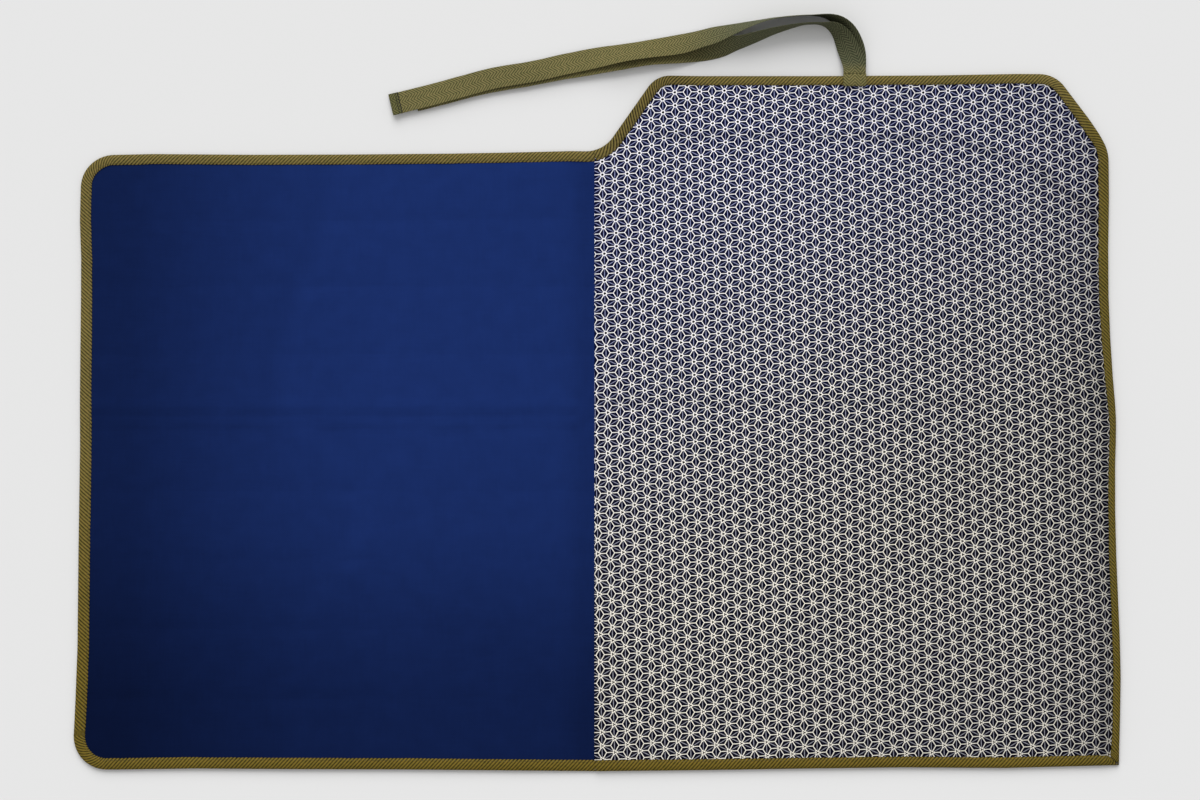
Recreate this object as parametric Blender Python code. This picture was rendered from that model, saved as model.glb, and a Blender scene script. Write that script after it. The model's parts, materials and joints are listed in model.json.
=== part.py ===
# Brush roll case, laid open: a canvas body with a row of brush slots behind a printed
# front, a canvas cover leaf, a tab with two ties, and twill tape bound round every edge.
# Metres, +Z up. X runs along the brushes, +Y points to the tab. The origin is the middle
# of the footprint, on the surface that the case lies on.

import math

import bmesh
import bpy
from mathutils import Vector

MM = 0.001

# Cut of the case
CASE_WIDTH = 690 * MM
BODY_HEIGHT = 410 * MM
TAB_HEIGHT = 52 * MM
COVER_WIDTH = 341 * MM  # from the cover's free edge to the fold
SLOT_COUNT = 9
NECK = 12 * MM  # from the body's top edge up to the crease under the tab
MOUTH_SETBACK = 3.3 * MM  # the slots' mouth, past the fold

# Outline of the tab
BEND_OFFSET = 9 * MM  # from the fold to the inner bend
TAB_LEFT_RUN = 36 * MM
TAB_RIGHT_RUN = 36 * MM
TAB_RIGHT_DROP = 47 * MM

# Corner radii
COVER_CORNER = 22 * MM
SQUARE_CORNER = 1.5 * MM
BEND_RADIUS = 22 * MM
TAB_LEFT_RADIUS = 18 * MM
TAB_RIGHT_RADIUS = 21 * MM
SHOULDER_RADIUS = 28 * MM
ARC_STEP = math.radians(15)

# Cloth and tape
TAPE = 0.5 * MM
CANVAS = 0.8 * MM
PRINT = 0.6 * MM
BINDING_WIDTH = 7.3 * MM
GAP = 0.3 * MM

# Rolling: each hinge turns a little further than the one before it
ROLL_FIRST = math.radians(40)
ROLL_STEP = math.radians(5)

# Ties
TIE_WIDTH = 15 * MM
TIE_THICKNESS = 0.8 * MM
ANCHOR_RUN = 133 * MM  # from the tab's left corner to the middle of the ties
ANCHOR_LENGTH = 7.5 * MM
TIE_STEP = 5 * MM  # between the sections along a tie
TIE_SPACING = 1.1 * MM  # between the middles of two ties that lie on each other

# Heights of the layers
canvas_low = TAPE + GAP
canvas_top = canvas_low + CANVAS
print_low = canvas_top + GAP
print_top = print_low + PRINT
slot_height = print_top + GAP + TAPE
cover_height = canvas_top + GAP + TAPE
hinge_z = canvas_top
fold_z = (slot_height + GAP + cover_height) / 2

# Places
left = -CASE_WIDTH / 2
right = CASE_WIDTH / 2
bottom = -(BODY_HEIGHT + TAB_HEIGHT) / 2
body_top = bottom + BODY_HEIGHT
tab_top = body_top + TAB_HEIGHT
crease_y = body_top + NECK
fold_x = left + COVER_WIDTH
mouth_x = fold_x + MOUTH_SETBACK
slot_pitch = BODY_HEIGHT / SLOT_COUNT
anchor_x = fold_x + BEND_OFFSET + TAB_LEFT_RUN + ANCHOR_RUN
beyond = 20 * MM  # how far a cutter runs past what it cuts

roll_angles = [ROLL_FIRST + ROLL_STEP * k for k in range(SLOT_COUNT)]
hinge_lines = [crease_y] + [body_top - slot_pitch * k for k in range(1, SLOT_COUNT)]

# Routes of the ties from where they are sewn on, for a tape 15 mm wide: X and Y in
# millimetres, then the tilt in degrees of the tape from flat, then the lift in
# millimetres of its lower edge.
INNER_TIE = [
    (0.0, 0.6, 0, 4.7), (0.0, 3.0, 0, 4.4), (-0.8, 8.0, 4, 3.4),
    (-4.0, 15.6, 20, 1.9), (-10.4, 25.6, 46, 0.6), (-17.0, 31.0, 66, 0),
    (-24.6, 33.3, 80, 0),
    (-31.0, 33.3, 95, 0), (-38.4, 32.3, 108, 0), (-52.8, 29.8, 118, 0),
    (-62.6, 26.8, 123, 0), (-72.4, 23.4, 129, 0), (-84.4, 19.6, 137, 0),
    (-100.4, 16.4, 148, 0), (-117.0, 15.0, 161, 0), (-137.6, 13.4, 172, 0),
    (-158.4, 9.6, 180, 0), (-179.0, 6.6, 180, 0), (-199.2, 3.0, 180, 0),
    (-221.0, -1.2, 180, 0), (-243.6, -5.0, 180, 0), (-259.4, -8.4, 180, 0),
    (-278.0, -13.2, 180, 0), (-295.0, -17.4, 180, 0),
]
OUTER_TIE = [
    (0.0, 0.6, 0, 3.6), (0.0, 3.0, 0, 3.2), (0.2, 8.0, 3, 2.0),
    (-1.2, 16.8, 16, 0.3), (-6.2, 27.8, 42, 0), (-12.4, 34.0, 62, 0),
    (-19.4, 37.2, 75, 0),
    (-28.0, 38.4, 82, 0), (-38.2, 38.4, 87, 0), (-52.4, 37.2, 96, 0.2),
    (-62.0, 35.4, 107, 0.6), (-73.2, 32.4, 117, 1.0), (-83.4, 29.6, 127, 1.2),
    (-94.4, 26.8, 140, 1.2), (-104.4, 23.8, 147, 1.2), (-117.8, 20.6, 157, 1.2),
    (-137.0, 17.8, 169, 1.2), (-152.4, 15.4, 178, 1.2), (-164.4, 13.4, 180, 1.2),
    (-178.0, 10.9, 180, 1.2), (-198.0, 6.2, 180, 1.2), (-215.6, 2.0, 180, 1.2),
    (-242.4, -1.7, 180, 1.2), (-262.8, -7.8, 180, 1.2), (-284.4, -13.7, 180, 1.2),
    (-311.3, -20.4, 180, 1.2),
]

NAVY = (0.010, 0.020, 0.085)
PRINTED = (0.19, 0.19, 0.22)
OLIVE = (0.115, 0.093, 0.022)
TIE_OLIVE = (0.14, 0.13, 0.055)


def clear_scene():
    for obj in list(bpy.data.objects):
        bpy.data.objects.remove(obj, do_unlink=True)


def new_collection(name):
    collection = bpy.data.collections.new(name)
    bpy.context.scene.collection.children.link(collection)
    return collection


def cloth_material(name, color, roughness):
    material = bpy.data.materials.new(name)
    material.use_nodes = True
    shader = material.node_tree.nodes["Principled BSDF"]
    shader.inputs["Base Color"].default_value = (*color, 1)
    shader.inputs["Roughness"].default_value = roughness
    shader.inputs["Metallic"].default_value = 0
    return material


def case_corners():
    """Corners of the whole cut, anticlockwise: a point, a radius, and whether it bulges."""
    return [
        (left, bottom, COVER_CORNER, True),
        (right, bottom, SQUARE_CORNER, True),
        (right, tab_top - TAB_RIGHT_DROP, SHOULDER_RADIUS, True),
        (right - TAB_RIGHT_RUN, tab_top, TAB_RIGHT_RADIUS, True),
        (fold_x + BEND_OFFSET + TAB_LEFT_RUN, tab_top, TAB_LEFT_RADIUS, True),
        (fold_x + BEND_OFFSET, body_top, BEND_RADIUS, False),
        (left, body_top, COVER_CORNER, True),
    ]


def inset_corner(before, corner, after, inset):
    """The corner moved inwards by the inset from both of its edges."""
    edge_in = (corner - before).normalized()
    edge_out = (after - corner).normalized()
    normal_in = Vector((-edge_in.y, edge_in.x))
    normal_out = Vector((-edge_out.y, edge_out.x))
    return corner + (normal_in + normal_out) * inset / (1 + normal_in.dot(normal_out))


def arc_points(before, corner, after, radius):
    """Points round a corner that is rounded to the radius."""
    to_before = (before - corner).normalized()
    to_after = (after - corner).normalized()
    half = to_before.angle(to_after) / 2
    if radius < GAP:
        return [corner]
    centre = corner + (to_before + to_after).normalized() * radius / math.sin(half)
    start = corner + to_before * radius / math.tan(half) - centre
    end = corner + to_after * radius / math.tan(half) - centre
    turn = start.angle_signed(end)
    steps = max(2, round(abs(turn) / ARC_STEP))
    points = []
    for i in range(steps + 1):
        angle = -turn * i / steps
        cos, sin = math.cos(angle), math.sin(angle)
        points.append(centre + Vector((start.x * cos - start.y * sin, start.x * sin + start.y * cos)))
    return points


def case_outline(inset):
    """The whole outline, set in from the edge."""
    corners = case_corners()
    count = len(corners)
    places = [Vector(c[:2]) for c in corners]
    moved = [
        inset_corner(places[i - 1], places[i], places[(i + 1) % count], inset) for i in range(count)
    ]
    points = []
    for i, (_, _, radius, bulges) in enumerate(corners):
        radius = radius - inset if bulges else radius + inset
        points += arc_points(moved[i - 1], moved[i], moved[(i + 1) % count], radius)
    return points


def solid_from_outline(name, points, low, high, collection):
    """A flat outline, filled and extruded from one height to another, as a mesh."""
    curve = bpy.data.curves.new(name, "CURVE")
    curve.dimensions = "2D"
    curve.fill_mode = "BOTH"
    curve.extrude = (high - low) / 2
    spline = curve.splines.new("POLY")
    spline.points.add(len(points) - 1)
    for target, point in zip(spline.points, points):
        target.co = (point.x, point.y, 0, 1)
    spline.use_cyclic_u = True
    return curve_to_mesh(name, curve, (0, 0, (low + high) / 2), collection)


def curve_to_mesh(name, curve, location, collection):
    """The curve as a closed mesh in world coordinates, with its caps welded on."""
    guide = bpy.data.objects.new(name + "_curve", curve)
    guide.location = location
    bpy.context.scene.collection.objects.link(guide)
    bpy.context.view_layer.update()
    evaluated = guide.evaluated_get(bpy.context.evaluated_depsgraph_get())
    mesh = bpy.data.meshes.new_from_object(evaluated)
    mesh.transform(guide.matrix_world)
    clean_mesh(mesh)
    obj = bpy.data.objects.new(name, mesh)
    collection.objects.link(obj)
    bpy.data.objects.remove(guide, do_unlink=True)
    return obj


def clean_mesh(mesh):
    """Welds loose caps on and joins triangles that lie in one plane."""
    shape = bmesh.new()
    shape.from_mesh(mesh)
    bmesh.ops.remove_doubles(shape, verts=shape.verts, dist=0.01 * MM)
    bmesh.ops.dissolve_limit(
        shape, angle_limit=math.radians(0.2), verts=shape.verts, edges=shape.edges
    )
    bmesh.ops.recalc_face_normals(shape, faces=shape.faces)
    shape.to_mesh(mesh)
    shape.free()


def box(name, low, high, collection):
    """A box from its lowest to its highest corner."""
    mesh = bpy.data.meshes.new(name)
    shape = bmesh.new()
    bmesh.ops.create_cube(shape, size=1)
    middle = (Vector(low) + Vector(high)) / 2
    size = Vector(high) - Vector(low)
    for vert in shape.verts:
        vert.co = middle + Vector((vert.co.x * size.x, vert.co.y * size.y, vert.co.z * size.z))
    shape.to_mesh(mesh)
    shape.free()
    obj = bpy.data.objects.new(name, mesh)
    collection.objects.link(obj)
    return obj


def make_guide(obj):
    obj.hide_render = True
    obj.display_type = "WIRE"
    return obj


def add_boolean(obj, cutter, operation):
    modifier = obj.modifiers.new(cutter.name, "BOOLEAN")
    modifier.operation = operation
    modifier.solver = "EXACT"
    modifier.object = cutter


def whole_binding(name, height, cutters):
    """The tape folded round the whole edge, as one channel of the given height."""
    channel = solid_from_outline(name, case_outline(0), 0, height, cutters)
    window = solid_from_outline(
        name + "_window", case_outline(BINDING_WIDTH), -beyond, height + beyond, cutters
    )
    groove = solid_from_outline(name + "_groove", case_outline(TAPE), TAPE, height - TAPE, cutters)
    for cutter in (window, groove):
        add_boolean(channel, make_guide(cutter), "DIFFERENCE")
    bpy.context.view_layer.update()
    evaluated = channel.evaluated_get(bpy.context.evaluated_depsgraph_get())
    channel_mesh = bpy.data.meshes.new_from_object(evaluated)
    clean_mesh(channel_mesh)
    channel.modifiers.clear()
    channel.data = channel_mesh
    return make_guide(channel)


def relief(height, angle):
    """Half the gap at a hinge line, so that what stands above the hinge clears as it turns."""
    return GAP / 2 + max(0, height - hinge_z) * math.tan(angle / 2)


def cut_piece(name, whole, x_range, y_range, material, parent, collections):
    """One node: the part of a whole layer that lies inside a region of the plan."""
    parts, cutters = collections
    piece = bpy.data.objects.new(name, whole.data.copy())
    parts.objects.link(piece)
    region = box(
        name + "_region", (x_range[0], y_range[0], -beyond), (x_range[1], y_range[1], beyond), cutters
    )
    add_boolean(piece, make_guide(region), "INTERSECT")
    finish_piece(piece, material, parent)
    return piece


def finish_piece(piece, material, parent):
    piece.data.materials.clear()
    piece.data.materials.append(material)
    if parent is not None:
        bpy.context.view_layer.update()
        piece.parent = parent
        piece.matrix_parent_inverse = parent.matrix_world.inverted()


def joint_empty(name, place, parent, collection):
    """An empty on a joint's axis, which carries the pieces that move with it."""
    empty = bpy.data.objects.new(name, None)
    empty.empty_display_size = 10 * MM
    collection.objects.link(empty)
    empty.location = place
    if parent is not None:
        bpy.context.view_layer.update()
        empty.parent = parent
        empty.matrix_parent_inverse = parent.matrix_world.inverted()
    bpy.context.view_layer.update()
    return empty


def smooth_route(route, step):
    """Stations along a Catmull-Rom curve through the route's points, about a step apart."""
    points = [Vector(p) for p in route]
    ends = [2 * points[0] - points[1]] + points + [2 * points[-1] - points[-2]]
    stations = []
    for i in range(1, len(ends) - 2):
        a, b, c, d = ends[i - 1 : i + 3]
        count = max(1, round((c - b).xy.length / step))
        for j in range(count):
            t = j / count
            stations.append(
                0.5 * (2 * b + (c - a) * t + (2 * a - 5 * b + 4 * c - d) * t**2
                       + (3 * b - a - 3 * c + d) * t**3)
            )
    return stations + [points[-1]]


def tie(name, route, material, collections):
    """A flat tape along its route: the tilt turns it about its own length, and its lower
    edge stays at the lift above the surface."""
    parts, cutters = collections
    profile_curve = bpy.data.curves.new(name + "_section", "CURVE")
    profile_curve.dimensions = "2D"
    section = profile_curve.splines.new("POLY")
    section.points.add(3)
    half_width, half_thickness = TIE_WIDTH / 2, TIE_THICKNESS / 2
    for target, (x, y) in zip(section.points, ((-1, -1), (1, -1), (1, 1), (-1, 1))):
        target.co = (x * half_width, y * half_thickness, 0, 1)
    section.use_cyclic_u = True
    profile = bpy.data.objects.new(name + "_section", profile_curve)
    cutters.objects.link(profile)
    make_guide(profile)

    size = TIE_WIDTH / 15
    stations = smooth_route(
        [(anchor_x + x * size, tab_top + y * size, math.radians(a), up * size) for x, y, a, up in route],
        TIE_STEP,
    )
    curve = bpy.data.curves.new(name, "CURVE")
    curve.dimensions = "3D"
    curve.twist_mode = "Z_UP"
    curve.bevel_mode = "OBJECT"
    curve.bevel_object = profile
    curve.use_fill_caps = True
    spline = curve.splines.new("POLY")
    spline.points.add(len(stations) - 1)
    for target, (x, y, tilt, lift) in zip(spline.points, stations):
        rise = half_width * abs(math.sin(tilt)) + half_thickness * abs(math.cos(tilt))
        target.co = (x, y, lift + rise, 1)
        target.tilt = -tilt
    obj = curve_to_mesh(name, curve, (0, 0, 0), parts)
    finish_piece(obj, material, None)
    return obj


def build():
    clear_scene()
    parts = new_collection("brush_roll_case")
    cutters = new_collection("cutters")
    collections = (parts, cutters)

    navy = cloth_material("navy_canvas", NAVY, 0.85)
    printed = cloth_material("printed_cotton", PRINTED, 0.8)
    olive = cloth_material("binding_tape", OLIVE, 0.75)
    tie_olive = cloth_material("tie_tape", TIE_OLIVE, 0.75)

    cloth_inset = TAPE + GAP
    outline = case_outline(cloth_inset)
    canvas = make_guide(solid_from_outline("whole_canvas", outline, canvas_low, canvas_top, cutters))
    front = make_guide(solid_from_outline("whole_front", outline, print_low, print_top, cutters))
    slot_binding = whole_binding("whole_slot_binding", slot_height, cutters)
    cover_binding = whole_binding("whole_cover_binding", cover_height, cutters)

    slot_side = (fold_x + GAP / 2, right + beyond)
    cover_side = (left - beyond, fold_x - GAP / 2)
    front_side = (mouth_x, right + beyond)

    def above_crease(height):
        return (crease_y + relief(height, roll_angles[0]), tab_top + beyond)

    cut_piece("tab_canvas", canvas, slot_side, above_crease(canvas_top), navy, None, collections)
    cut_piece("tab_facing", front, slot_side, above_crease(print_top), printed, None, collections)
    cut_piece("tab_binding", slot_binding, slot_side, above_crease(slot_height), olive, None, collections)

    anchor_low = (anchor_x - TIE_WIDTH / 2, tab_top - BINDING_WIDTH, slot_height + GAP)
    anchor_high = (
        anchor_x + TIE_WIDTH / 2,
        tab_top - BINDING_WIDTH + ANCHOR_LENGTH,
        slot_height + GAP + TIE_SPACING + TIE_THICKNESS,
    )
    finish_piece(box("tie_anchor", anchor_low, anchor_high, parts), tie_olive, None)
    tie("tie_inner", INNER_TIE, tie_olive, collections)
    tie("tie_outer", OUTER_TIE, tie_olive, collections)

    folded_height = 2 * fold_z  # the underside of the cover, once it lies on the slots
    parent = None
    for k in range(1, SLOT_COUNT + 1):
        top_angle = roll_angles[k - 1]
        bottom_angle = roll_angles[k] if k < SLOT_COUNT else None
        top_line = hinge_lines[k - 1]

        def between(height):
            high = top_line - relief(height, top_angle)
            if bottom_angle is None:
                return (bottom - beyond, high)
            return (hinge_lines[k] + relief(height, bottom_angle), high)

        slot_joint = joint_empty(f"joint_roll_{k}", (0, top_line, hinge_z), parent, parts)
        cut_piece(f"slot_canvas_{k}", canvas, slot_side, between(canvas_top), navy, slot_joint, collections)
        cut_piece(f"slot_front_{k}", front, front_side, between(print_top), printed, slot_joint, collections)
        if k == 1:
            middle = (fold_x + right) / 2
            cut_piece("neck_binding", slot_binding, (slot_side[0], middle), between(slot_height), olive,
                      slot_joint, collections)
            right_part = (middle, slot_side[1])
        else:
            right_part = slot_side
        cut_piece(f"slot_binding_{k}", slot_binding, right_part, between(slot_height), olive,
                  slot_joint, collections)

        cover_joint = joint_empty(f"joint_cover_{k}", (fold_x, top_line, fold_z), slot_joint, parts)
        cut_piece(f"cover_canvas_{k}", canvas, cover_side, between(folded_height - canvas_low), navy,
                  cover_joint, collections)
        cut_piece(f"cover_binding_{k}", cover_binding, cover_side, between(folded_height), olive,
                  cover_joint, collections)
        parent = slot_joint


build()
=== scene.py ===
import json
import math

import bpy
import numpy as np
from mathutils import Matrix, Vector, noise


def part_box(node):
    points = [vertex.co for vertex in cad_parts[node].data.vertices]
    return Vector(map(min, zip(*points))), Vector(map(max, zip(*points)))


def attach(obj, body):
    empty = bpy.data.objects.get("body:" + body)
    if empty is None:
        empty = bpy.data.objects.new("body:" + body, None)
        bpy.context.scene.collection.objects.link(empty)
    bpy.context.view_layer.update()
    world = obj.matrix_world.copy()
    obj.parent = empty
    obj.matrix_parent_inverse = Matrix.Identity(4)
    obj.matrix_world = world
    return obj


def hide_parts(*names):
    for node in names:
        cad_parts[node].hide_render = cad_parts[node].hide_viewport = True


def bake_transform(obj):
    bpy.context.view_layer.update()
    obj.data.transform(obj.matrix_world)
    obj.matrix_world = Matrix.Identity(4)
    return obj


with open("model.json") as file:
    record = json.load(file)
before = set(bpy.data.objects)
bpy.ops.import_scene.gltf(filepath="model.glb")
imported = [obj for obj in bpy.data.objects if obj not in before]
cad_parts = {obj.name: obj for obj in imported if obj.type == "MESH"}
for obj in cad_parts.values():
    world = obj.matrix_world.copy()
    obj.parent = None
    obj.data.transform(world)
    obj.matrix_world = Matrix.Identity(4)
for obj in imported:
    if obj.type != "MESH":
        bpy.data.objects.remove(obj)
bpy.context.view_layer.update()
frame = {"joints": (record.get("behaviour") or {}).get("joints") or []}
mm = 0.001


def boxOf(node):
    low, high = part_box(node)
    return low / mm, high / mm


jointAt = {j["name"]: Vector(j["pos_m"]) / mm for j in frame["joints"]}
slotCount = sum(name.startswith("roll_") for name in jointAt)
leftX = boxOf("cover_binding_5")[0].x
rightX = boxOf("slot_binding_5")[1].x
bottomY = boxOf("slot_binding_9")[0].y
bodyTopY = boxOf("cover_binding_1")[1].y
tabTopY = boxOf("tab_binding")[1].y
mouthX = boxOf("slot_front_5")[0].x
canvasLow, canvasTop = boxOf("slot_canvas_5")[0].z, boxOf("slot_canvas_5")[1].z
printLow, printTop = boxOf("slot_front_5")[0].z, boxOf("slot_front_5")[1].z
slotHeight = boxOf("slot_binding_5")[1].z
coverHeight = boxOf("cover_binding_5")[1].z
foldX, foldZ = jointAt["cover_fold_1"].x, jointAt["cover_fold_1"].z
hingeY = [jointAt[f"roll_{k}"].y for k in range(1, slotCount + 1)]  # from the tab down
# middle of each slot, where one piece meets the next
middleY = [None] + [(hingeY[k] + hingeY[k + 1]) / 2 for k in range(slotCount - 1)]
seamX = foldX + 4  # cover leaf starts here, just under the slots' mouth
anchorX = (boxOf("tie_anchor")[0].x + boxOf("tie_anchor")[1].x) / 2


view = dict(aim=(3, 12.1, 0), distance=1556, tilt=3.9, lens=70)
light = dict(sunStrength=2.20, sunFrom=(-9, 100, 80), sunAngle=50, skyStrength=0.56, floorShade=0.80)


def setCamera():
    camera = bpy.data.objects.new("camera", bpy.data.cameras.new("camera"))
    bpy.context.scene.collection.objects.link(camera)
    tilt = math.radians(view["tilt"])
    back = Vector((0, -math.sin(tilt), math.cos(tilt)))
    camera.location = (Vector(view["aim"]) + back * view["distance"]) * mm
    camera.rotation_euler = (tilt, 0, 0)
    camera.data.lens = view["lens"]
    camera.data.sensor_width = 36
    camera.data.clip_end = 20
    bpy.context.scene.camera = camera


def setLight():
    scene = bpy.context.scene
    scene.view_settings.view_transform = "Standard"
    world = bpy.data.worlds.new("studio")
    world.use_nodes = True
    background = world.node_tree.nodes["Background"]
    background.inputs["Color"].default_value = (1, 1, 1, 1)
    background.inputs["Strength"].default_value = light["skyStrength"]
    scene.world = world
    sun = bpy.data.objects.new("softbox", bpy.data.lights.new("softbox", "SUN"))
    sun.data.energy = light["sunStrength"]
    sun.data.angle = math.radians(light["sunAngle"])
    sun.rotation_euler = Vector(light["sunFrom"]).to_track_quat("Z", "Y").to_euler()
    scene.collection.objects.link(sun)


setCamera()
setLight()
print("camera and light set")


# a socket that can be used in sums
class Wire:
    def __init__(self, finish, socket):
        self.finish = finish
        self.socket = socket

    def __add__(self, other):
        return self.finish.math("ADD", self, other)

    def __radd__(self, other):
        return self.finish.math("ADD", other, self)

    def __sub__(self, other):
        return self.finish.math("SUBTRACT", self, other)

    def __rsub__(self, other):
        return self.finish.math("SUBTRACT", other, self)

    def __mul__(self, other):
        return self.finish.math("MULTIPLY", self, other)

    def __rmul__(self, other):
        return self.finish.math("MULTIPLY", other, self)


# a material built from nodes
class Finish:
    def __init__(self, name, roughness=0.85, specular=0.25, sheen=0.0):
        self.material = bpy.data.materials.new(name)
        self.material.use_nodes = True
        self.tree = self.material.node_tree
        self.shader = self.tree.nodes["Principled BSDF"]
        self.shader.inputs["Roughness"].default_value = roughness
        self.shader.inputs["Specular IOR Level"].default_value = specular
        self.shader.inputs["Sheen Weight"].default_value = sheen
        self.shader.inputs["Sheen Roughness"].default_value = 0.5

    def node(self, kind, settings, sockets, out=0):
        made = self.tree.nodes.new(kind)
        for name, value in settings.items():
            if name == "stops":
                ramp = made.color_ramp
                while len(ramp.elements) < len(value):
                    ramp.elements.new(0.5)
                for element, (place, shade) in zip(ramp.elements, value):
                    element.position = place
                    element.color = (*shade, 1) if hasattr(shade, "__len__") else (shade, shade, shade, 1)
            else:
                setattr(made, name, value)
        for name, value in sockets.items():
            if isinstance(value, Wire):
                self.tree.links.new(value.socket, made.inputs[name])
            else:
                made.inputs[name].default_value = value
        return Wire(self, made.outputs[out])

    def math(self, operation, *values):
        return self.node("ShaderNodeMath", {"operation": operation}, dict(enumerate(values)))

    def attribute(self, name, out="Vector"):
        return self.node("ShaderNodeAttribute", {"attribute_name": name}, {}, out)

    def parts(self, vector):
        split = self.node("ShaderNodeSeparateXYZ", {}, {0: vector})
        return [Wire(self, socket) for socket in split.socket.node.outputs]

    def mix(self, factor, a, b, blend="MIX"):
        fourth = [v if isinstance(v, Wire) else (*v, 1) for v in (a, b)]
        settings = {"data_type": "RGBA", "blend_type": blend}
        return self.node("ShaderNodeMix", settings, {0: factor, 6: fourth[0], 7: fourth[1]}, 2)

    def step(self, value, low, high, smooth="SMOOTHSTEP"):
        sockets = {"Value": value, "From Min": low, "From Max": high, "To Min": 0.0, "To Max": 1.0}
        return self.node("ShaderNodeMapRange", {"interpolation_type": smooth}, sockets)

    def ramp(self, value, low, high, stops):
        place = self.step(value, low, high, "LINEAR")
        return self.node("ShaderNodeValToRGB", {"stops": stops}, {0: place})

    def clouds(self, vector, scale, detail=2.0, roughness=0.5):
        sockets = {"Vector": vector, "Scale": scale, "Detail": detail, "Roughness": roughness}
        return self.node("ShaderNodeTexNoise", {}, sockets)

    def stretched(self, vector, x, y, z=1.0):
        return self.node("ShaderNodeVectorMath", {"operation": "MULTIPLY"}, {0: vector, 1: (x, y, z)})

    def sine(self, value):
        return self.math("SINE", value)

    def feed(self, socket, value):
        self.tree.links.new(value.socket, self.shader.inputs[socket])

    # colour of the surface, made darker or paler by shade
    def paint(self, colour, shade):
        grey = self.node("ShaderNodeCombineXYZ", {}, {0: shade, 1: shade, 2: shade})
        self.feed("Base Color", self.mix(1.0, colour, grey, "MULTIPLY"))

    def relief(self, height, distance, strength=1.0):
        sockets = {"Height": height, "Distance": distance * mm, "Strength": strength}
        self.feed("Normal", self.node("ShaderNodeBump", {}, sockets))


canvasLook = dict(
    colour=(0.0098, 0.0272, 0.135),
    thread=0.62,  # pitch of the yarns
    # how much the weave, the slubs and the mottling shade it
    weaveDepth=0.10,
    slubDepth=0.30,
    mottleDepth=0.22,
    # painted light: how pale it is from left to right, and from the bottom up, darker to the left and
    # bottom where the light falls off
    paintedLightAcross=[(0.0, 0.46), (0.10, 0.49), (0.28, 0.73), (0.42, 0.88), (0.60, 1.0), (0.93, 0.98),
                (1.0, 0.82)],
    paintedLightAlong=[(0.0, 0.42), (0.12, 0.48), (0.24, 0.62), (0.38, 0.84), (0.60, 0.97), (1.0, 0.98)],
)


def navyCanvas():
    look = canvasLook
    finish = Finish("navyCanvas", roughness=0.9, specular=0.03)
    rest = finish.attribute("rest")
    x, y = finish.parts(rest)[:2]
    turn = math.pi / look["thread"]
    weave = finish.sine(x * turn) * finish.sine(y * turn) * 0.5 + 0.5
    slubs = finish.clouds(finish.stretched(rest, 0.9, 0.05), 1.0, 3.0) * 0.5
    slubs = slubs + finish.clouds(finish.stretched(rest, 0.05, 0.9), 1.0, 3.0) * 0.5
    mottle = finish.clouds(rest, 0.09, 3.0, 0.6)
    # painted light: the canvas is painted darker towards the left and the bottom, where the light falls off
    across = finish.ramp(x, leftX, mouthX, look["paintedLightAcross"])
    along = finish.ramp(y, bottomY, bodyTopY, look["paintedLightAlong"])
    pale = finish.mix(1.0, across, along, "MULTIPLY")
    shade = 0.72 + slubs * look["slubDepth"] + mottle * look["mottleDepth"] + weave * look["weaveDepth"]
    # painted shade and painted light along the creases and folds
    shade = shade - finish.attribute("press", "Fac")
    colour = finish.mix(1.0, pale, look["colour"], "MULTIPLY")
    finish.paint(colour, shade)
    finish.feed("Roughness", 0.84 + slubs * 0.14)
    finish.relief(weave * 0.6 + slubs * 0.9, 0.10, 0.55)
    return finish.material


printLook = dict(
    # three wave vectors of the leaf lattice, in turns per millimetre, and the centre of one star
    first=(0.120, 0.00255),
    second=(0.066, -0.11115),
    third=(-0.054, -0.11385),
    star=(4.4, 172.1),
    rowGap=8.33,  # from one row of stars to the next
    # half width of a line beside a star, and how much it grows outwards
    boldWidth=(0.29, -0.02),
    fineWidth=(0.08, 0.18),
    discRadius=1.61,
    dotRadius=0.88,
    thread=0.45,  # pitch of the yarns
    # each print colour is also given in a painted-light version for the lower right, less blue and warmer,
    # without the bluish glare of the upper left
    ground=(0.0012, 0.0022, 0.024),
    groundAwayFromLight=(0.0012, 0.0014, 0.008),
    line=(0.96, 0.94, 0.98),
    lineAwayFromLight=(0.96, 0.91, 0.80),
    fine=(0.36, 0.39, 0.66),
    fineAwayFromLight=(0.42, 0.42, 0.48),
    dot=(0.003, 0.002, 0.003),
)


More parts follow.
